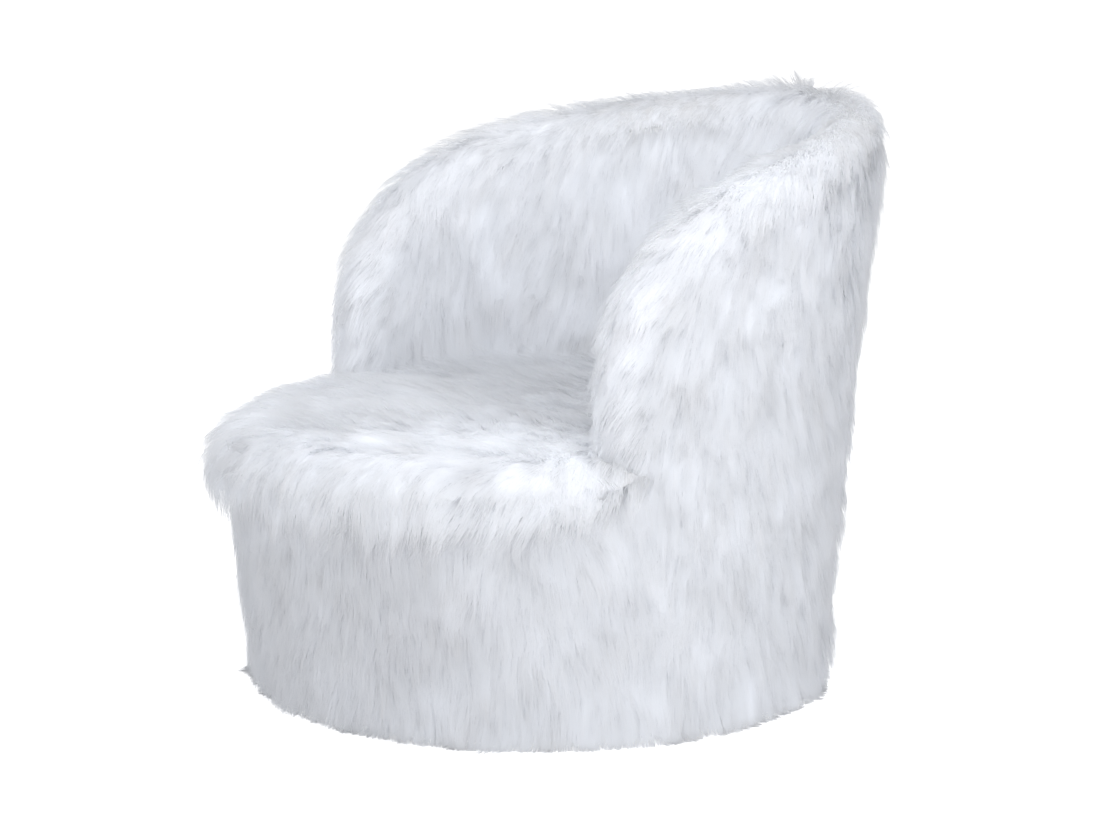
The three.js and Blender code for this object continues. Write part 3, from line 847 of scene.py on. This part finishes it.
def down_and_forward(points):
    """Down, and along the rolled edge toward the arm's front, less so further below it."""
    near = np.exp(-below_the_edge(points).clip(0, None) / EDGE_REACH)[:, None]
    outward = outward_from_the_axis(points)
    forward = np.stack([outward[:, 1], -outward[:, 0], 0 * outward[:, 0]], -1)
    to_the_arm = forward * np.clip(points[:, :1] / CROWN_HALF_WIDTH, -1, 1)
    along_the_edge = (WALL_FORWARD_PULL + EDGE_FORWARD_PULL * near) * to_the_arm
    return EDGE_OUTWARD_PULL * near * outward + along_the_edge + np.array([0, 0, -1.0])


def down(points):
    return np.broadcast_to(np.array([0, 0, -1.0]), points.shape)


def forward_off_the_seat(points):
    outward = outward_from_the_axis(points)
    return SEAT_OUTWARD_PULL * outward + np.array([0, -SEAT_FORWARD_PULL, -1.0])


# How long the pile is, as a share of each layer's length


def even_length(points):
    return np.ones(len(points))


def longer_on_the_side(points):
    """The cushion's side, whose hair hangs over the border below it."""
    return 1 + SIDE_EXTRA * np.clip((SIDE_TOP - points[:, 2]) / SIDE_BLEND, 0, 1)


def tufted_at_the_top(points):
    """The rolled edge: flat on the shoulders of the back, with tufts at the top."""
    turned = np.abs(np.arctan2(points[:, 0] / TOP_HALF_WIDTH, points[:, 1] / BACK_TOP_DEPTH))
    high = np.clip((points[:, 2] - TOP_START) / TOP_BLEND, 0, 1)
    shoulder = high * np.exp(-(((turned - SHOULDER_ANGLE) / SHOULDER_REACH) ** 2))
    tufts = high * np.clip(TUFT_NOISE.at(points) - TUFT_THRESHOLD, 0, 1)
    tufts = tufts * np.exp(-((turned / TUFT_REACH) ** 2))
    return 1 - SHOULDER_DIP * shoulder + TUFTS * tufts


def ragged_at_the_hem(points):
    """Longer toward the floor, then short enough just above it to end there."""
    low = np.clip(1 - points[:, 2] / LOW_HEIGHT, 0, 1)
    last = np.clip(1 - points[:, 2] / LAST_HEIGHT, 0, 1)
    return 1 + LOW_EXTRA * low - LAST_CUT * last + RAGGEDNESS * last * HEM_NOISE.at(points)


# Materials


class Nodes:
    """A material's node tree, built node by node."""

    def __init__(self, name):
        self.material = bpy.data.materials.new(name)
        self.material.use_nodes = True
        self.tree = self.material.node_tree
        self.tree.nodes.clear()
        self.output = self.add("ShaderNodeOutputMaterial")

    def add(self, kind, inputs=None, **settings):
        node = self.tree.nodes.new(kind)
        for key, value in settings.items():
            setattr(node, key, value)
        for key, value in (inputs or {}).items():
            if isinstance(value, bpy.types.NodeSocket):
                self.tree.links.new(value, node.inputs[key])
            else:
                node.inputs[key].default_value = value
        return node

    def ramp(self, factor, positions, colours):
        """A colour that runs through colours at positions from 0 to 1."""
        node = self.add("ShaderNodeValToRGB", {"Fac": factor})
        elements = node.color_ramp.elements
        while len(elements) < len(colours):
            elements.new(0.5)
        for element, position, colour in zip(elements, positions, colours):
            element.position = position
            element.color = (*colour, 1)
        return node.outputs["Color"]

    def multiply(self, a, b):
        """Two colours multiplied. A mix node takes them in sockets 6 and 7 and gives socket 2."""
        node = self.add("ShaderNodeMix", data_type="RGBA", blend_type="MULTIPLY")
        node.inputs[0].default_value = 1
        self.tree.links.new(a, node.inputs[6])
        self.tree.links.new(b, node.inputs[7])
        return node.outputs[2]

    def finish(self, shader):
        self.tree.links.new(shader, self.output.inputs["Surface"])
        return self.material


def fur_material():
    """White hair with a tint of its own and half translucent; its darker root is painted shade."""
    nodes = Nodes("fur_pile")
    uv = nodes.add("ShaderNodeUVMap", uv_map="OFBake")
    split = nodes.add("ShaderNodeSeparateXYZ", {0: uv.outputs["UV"]})
    # Painted shade: each hair darkens toward its root, in place of the shadow between hairs
    along = nodes.ramp(
        split.outputs["Y"],
        (0.0, 0.3, 1.0),
        [(0.86, 0.865, 0.875), (0.94, 0.945, 0.955), (0.97, 0.975, 0.985)],
    )
    tint = nodes.ramp(
        split.outputs["X"],
        (0.0, 0.35, 0.65, 1.0),
        [(0.93, 0.925, 0.915), (0.985, 0.985, 0.985), (0.99, 0.995, 1.0), (1.0, 1.0, 1.0)],
    )
    colour = nodes.multiply(along, tint)
    hair = nodes.add(
        "ShaderNodeBsdfPrincipled",
        {"Base Color": colour, "Roughness": 0.75, "Specular IOR Level": 0.15, "Sheen Weight": 0.1},
    )
    glow = nodes.add("ShaderNodeBsdfTranslucent", {"Color": colour})
    mixed = nodes.add("ShaderNodeMixShader", {0: 0.5, 1: hair.outputs[0], 2: glow.outputs[0]})
    return nodes.finish(mixed.outputs[0])


def backing_material():
    """Knitted backing cloth of the fur, greyer than the hair as painted shade, so bare patches pass for
    shaded fur.
    """
    nodes = Nodes("fur_backing")
    place = nodes.add("ShaderNodeTexCoord").outputs["Object"]
    knit = nodes.add("ShaderNodeTexNoise", {"Vector": place, "Scale": 220.0, "Detail": 6.0})
    knit = knit.outputs["Fac"]
    # Painted shade: the cloth is greyer than the hair, so bare patches look like fur in soft shade
    colour = nodes.ramp(knit, (0.3, 0.7), [(0.74, 0.745, 0.755), (0.84, 0.845, 0.855)])
    bump = nodes.add("ShaderNodeBump", {"Height": knit, "Strength": 0.4, "Distance": 0.002})
    cloth = nodes.add(
        "ShaderNodeBsdfPrincipled",
        {
            "Base Color": colour,
            "Roughness": 0.9,
            "Specular IOR Level": 0.2,
            "Normal": bump.outputs["Normal"],
        },
    )
    return nodes.finish(cloth.outputs[0])


def finish_material(name, inputs, scale, colours, detail=6.0, bump=0.3, stretch=(1, 1, 1)):
    """A matt or metal finish whose colour and relief follow fine noise, drawn out along a grain."""
    nodes = Nodes(name)
    place = nodes.add("ShaderNodeTexCoord").outputs["Object"]
    grain = nodes.add("ShaderNodeMapping", {"Vector": place, "Scale": stretch}).outputs["Vector"]
    noise = nodes.add("ShaderNodeTexNoise", {"Vector": grain, "Scale": scale, "Detail": detail})
    noise = noise.outputs["Fac"]
    colour = nodes.ramp(noise, (0.3, 0.5, 0.7), colours)
    relief = nodes.add("ShaderNodeBump", {"Height": noise, "Strength": bump, "Distance": 0.001})
    shader = nodes.add(
        "ShaderNodeBsdfPrincipled", {"Base Color": colour, "Normal": relief.outputs["Normal"], **inputs}
    )
    return nodes.finish(shader.outputs[0])


def timber_material(axis):
    """Sawn pine whose grain runs along one axis."""
    stretch = [14, 14, 14]
    stretch[axis] = 1
    colours = [(0.46, 0.30, 0.16), (0.66, 0.48, 0.28), (0.76, 0.60, 0.38)]
    name = f"sawn_timber_along_{'xyz'[axis]}"
    return finish_material(name, {"Roughness": 0.7}, 12.0, colours, stretch=stretch)


def webbing_material():
    """Woven strap: two sets of ribs that cross."""
    nodes = Nodes("jute_webbing")
    place = nodes.add("ShaderNodeTexCoord").outputs["Object"]
    rib_shape = {"Vector": place, "Scale": 90.0, "Distortion": 0.4}
    ribs = [nodes.add("ShaderNodeTexWave", rib_shape, bands_direction=axis) for axis in ("X", "Y")]
    weave = nodes.add(
        "ShaderNodeMath",
        {0: ribs[0].outputs["Fac"], 1: ribs[1].outputs["Fac"]},
        operation="MAXIMUM",
    )
    weave = weave.outputs[0]
    colours = [(0.16, 0.14, 0.11), (0.30, 0.27, 0.22), (0.40, 0.36, 0.29)]
    colour = nodes.ramp(weave, (0.2, 0.6, 1.0), colours)
    relief = nodes.add("ShaderNodeBump", {"Height": weave, "Strength": 0.6, "Distance": 0.001})
    shader = nodes.add(
        "ShaderNodeBsdfPrincipled",
        {"Base Color": colour, "Roughness": 0.9, "Normal": relief.outputs["Normal"]},
    )
    return nodes.finish(shader.outputs[0])


FUR = fur_material()
BACKING_IN_PAINTED_SHADE = backing_material()
FINISHES = {
    "fur": BACKING_IN_PAINTED_SHADE,
    "foam": finish_material(
        "open_foam",
        {"Roughness": 0.95},
        600.0,
        [(0.74, 0.66, 0.42), (0.84, 0.77, 0.55), (0.90, 0.85, 0.66)],
    ),
    "card": finish_material(
        "lining_card",
        {"Roughness": 0.85},
        300.0,
        [(0.33, 0.25, 0.16), (0.42, 0.33, 0.22), (0.50, 0.41, 0.29)],
    ),
    "webbing": webbing_material(),
    "black_cloth": finish_material(
        "black_felted_cloth",
        {"Roughness": 0.95},
        900.0,
        [(0.010, 0.010, 0.011), (0.02, 0.02, 0.022), (0.04, 0.04, 0.042)],
    ),
    "black_board": finish_material(
        "black_stained_board",
        {"Roughness": 0.5},
        10.0,
        [(0.012, 0.012, 0.013), (0.025, 0.025, 0.027), (0.045, 0.043, 0.042)],
        stretch=(1, 14, 14),
    ),
    "steel": finish_material(
        "zinc_plate",
        {"Metallic": 1.0, "Roughness": 0.36},
        140.0,
        [(0.46, 0.48, 0.51), (0.55, 0.57, 0.60), (0.66, 0.68, 0.70)],
        detail=3.0,
        bump=0.1,
    ),
}
TIMBER = [timber_material(axis) for axis in range(3)]


def finish_node(node, slot):
    """Gives a CAD node its finish. Timber's grain runs along the longest side."""
    low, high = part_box(node)
    material = TIMBER[int(np.argmax(np.subtract(high, low)))] if slot == "timber" else FINISHES[slot]
    for own in frame["nodes"][node].material_slots:
        own.material = material


for subpart in frame["record"]["subparts"]:
    finish_node(subpart["node"], subpart["material_slot"])


# The chair's covers

border_angle = np.linspace(-ARM_ANGLE, ARM_ANGLE, ANGLE_STEPS + 1)
border_share = (np.abs(border_angle) - BORDER_RISE_ANGLE) / (ARM_ANGLE - BORDER_RISE_ANGLE)
border_top = DECK_HEIGHT + BORDER_RISE * border_share.clip(0, 1) ** 2

outside_grid = wall_grid(sweep_angle, sweep_height, HEM_HEIGHT, SKIN_DEPTH)
outside_skin, outside_base = grid_skin("outside_skin", outside_grid)
border_grid = wall_grid(border_angle, border_top, HEM_HEIGHT, SKIN_DEPTH)
border_skin, border_base = grid_skin("border_skin", border_grid)
inside_grid = wall_grid(sweep_angle, sweep_height, DECK_HEIGHT, INSIDE_DEPTH)
inside_skin, inside_base = grid_skin("inside_skin", inside_grid, faces_inward=True)
edge_skin, edge_base = grid_skin("edge_skin", roll_grid(HALF_WALL - SKIN_DEPTH))
cushion_skin = cushion_body()

covers = [
    Cover(
        name="outside",
        node="outside_cover",
        skin=outside_skin,
        base=outside_base,
        pull=down_and_forward,
        length_at=ragged_at_the_hem,
        meets_floor=True,
    ),
    Cover(
        name="border",
        node="front_border_cover",
        skin=border_skin,
        base=border_base,
        pull=down,
        length_at=ragged_at_the_hem,
        meets_floor=True,
    ),
    Cover(
        name="inside",
        node="inside_back_cover",
        skin=inside_skin,
        base=kept(inside_base, above_the_cushion),
        pull=down_and_forward,
        length_at=even_length,
    ),
    Cover(
        name="edge",
        node="rolled_edge_cover",
        skin=edge_skin,
        base=edge_base,
        pull=down_and_forward,
        length_at=tufted_at_the_top,
        lie=0.97,
    ),
    Cover(
        name="cushion",
        node="seat_cushion_cover",
        skin=cushion_skin,
        base=kept(mesh_base(cushion_skin), on_the_cushion),
        pull=forward_off_the_seat,
        length_at=longer_on_the_side,
    ),
]
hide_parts("seat_cushion_foam")
for seed, cover in enumerate(covers, SEED):
    skin, node = cover.skin, cover.node
    skin.data.materials.append(BACKING_IN_PAINTED_SHADE)
    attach(skin, "chair")
    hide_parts(node)
    for piece in grow(cover, seed):
        piece.data.materials.append(FUR)
        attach(piece, "chair")


# Camera, at the photograph's angle and framing

AZIMUTH = math.radians(54.97)
ELEVATION = math.radians(11.75)
CAMERA_DISTANCE = 4.935
CAMERA_TARGET = Vector((0, 0, 0.365))
SENSOR_WIDTH = 36
LENS = 116.1
SHIFT_X = 0.009
SHIFT_Y = 0.0035


def aim(turned, toward):
    """Turns a camera or lamp so that it looks along a direction."""
    turned.rotation_euler = toward.to_track_quat("-Z", "Y").to_euler()


camera_data = bpy.data.cameras.new("camera")
camera_data.sensor_width = SENSOR_WIDTH
camera_data.lens = LENS
camera_data.shift_x = SHIFT_X
camera_data.shift_y = SHIFT_Y
camera = linked("camera", camera_data)
bpy.context.scene.camera = camera
camera_side = Vector((
    math.sin(AZIMUTH) * math.cos(ELEVATION),
    -math.cos(AZIMUTH) * math.cos(ELEVATION),
    math.sin(ELEVATION),
))
camera.location = CAMERA_TARGET + CAMERA_DISTANCE * camera_side
aim(camera, -camera_side)


# World: soft studio light, and a backdrop that stays white however much light the studio gives

STUDIO_WHITE = (0.975, 0.98, 1)
WORLD_LIGHT = 0.425
BACKDROP = 1.1

world = bpy.data.worlds.new("studio")
world.use_nodes = True
world_tree = world.node_tree
studio_light = world_tree.nodes["Background"]
studio_light.inputs["Color"].default_value = (*STUDIO_WHITE, 1)
studio_light.inputs["Strength"].default_value = WORLD_LIGHT
backdrop = world_tree.nodes.new("ShaderNodeBackground")
backdrop.inputs["Color"].default_value = (1, 1, 1, 1)
backdrop.inputs["Strength"].default_value = BACKDROP
seen = world_tree.nodes.new("ShaderNodeLightPath")
choice = world_tree.nodes.new("ShaderNodeMixShader")
world_tree.links.new(seen.outputs["Is Camera Ray"], choice.inputs[0])
world_tree.links.new(studio_light.outputs[0], choice.inputs[1])
world_tree.links.new(backdrop.outputs[0], choice.inputs[2])
world_tree.links.new(choice.outputs[0], world_tree.nodes["World Output"].inputs["Surface"])
bpy.context.scene.world = world


# Lamps


def area_light(name, location, target, size, power):
    """A round softbox with a size in metres and a power in watts, which the camera doesn't see."""
    data = bpy.data.lights.new(name, "AREA")
    data.shape = "DISK"
    data.size = size
    data.energy = power
    data.color = STUDIO_WHITE
    lamp = linked(name, data)
    lamp.location = location
    aim(lamp, Vector(target) - Vector(location))
    lamp.visible_camera = False


area_light("over_the_seat", (0.9, -0.9, 1.7), (-0.1, 0.1, 0.5), 1.2, 2.4)
area_light("right_softbox", (2.2, 0.4, 1.6), (0.2, 0.1, 0.45), 1.4, 12)
area_light("camera_fill", (2.0, -2.2, 1.5), (0, 0, 0.45), 1.6, 10.5)
area_light("front_softbox", (-0.4, -2.6, 1.1), (0, 0, 0.35), 1.6, 5)
area_light("inside_softbox", (0.75, -0.1, 1.3), (-0.3, 0.15, 0.6), 0.7, 1.95)
area_light("back_softbox", (-1.6, 2.4, 1.6), (0, 0.1, 0.4), 1.6, 19)
area_light("left_softbox", (-2.4, -0.3, 1.5), (0, 0, 0.4), 1.4, 10)
area_light("top_softbox", (-0.1, 0.1, 2.4), (0, 0, 0), 1.8, 2.0)


# Floor: pale, and lit a little from within for the camera, so that it meets the backdrop

FLOOR_REACH = 40
FLOOR_COLOUR = (0.95, 0.95, 0.95, 1)
FLOOR_GLOW = 0.75


def floor_material():
    nodes = Nodes("pale_floor")
    paint = nodes.add("ShaderNodeBsdfPrincipled", {"Base Color": FLOOR_COLOUR, "Roughness": 0.9})
    path = nodes.add("ShaderNodeLightPath")
    strength = nodes.add(
        "ShaderNodeMath", {0: path.outputs["Is Camera Ray"], 1: FLOOR_GLOW}, operation="MULTIPLY"
    )
    glow = nodes.add("ShaderNodeEmission", {"Strength": strength.outputs[0]})
    shader = nodes.add("ShaderNodeAddShader", {0: paint.outputs[0], 1: glow.outputs[0]})
    return nodes.finish(shader.outputs[0])


corners = [(-1, -1), (1, -1), (1, 1), (-1, 1)]
floor = mesh_object("floor", [(FLOOR_REACH * x, FLOOR_REACH * y, 0) for x, y in corners], [(0, 1, 2, 3)])
floor.data.materials.append(floor_material())

bpy.context.scene.view_settings.view_transform = "Standard"

# Light passes from hair to hair many times in white fur
bpy.context.scene.cycles.max_bounces = 16
bpy.context.scene.cycles.diffuse_bounces = 10
bpy.context.scene.cycles.transmission_bounces = 10
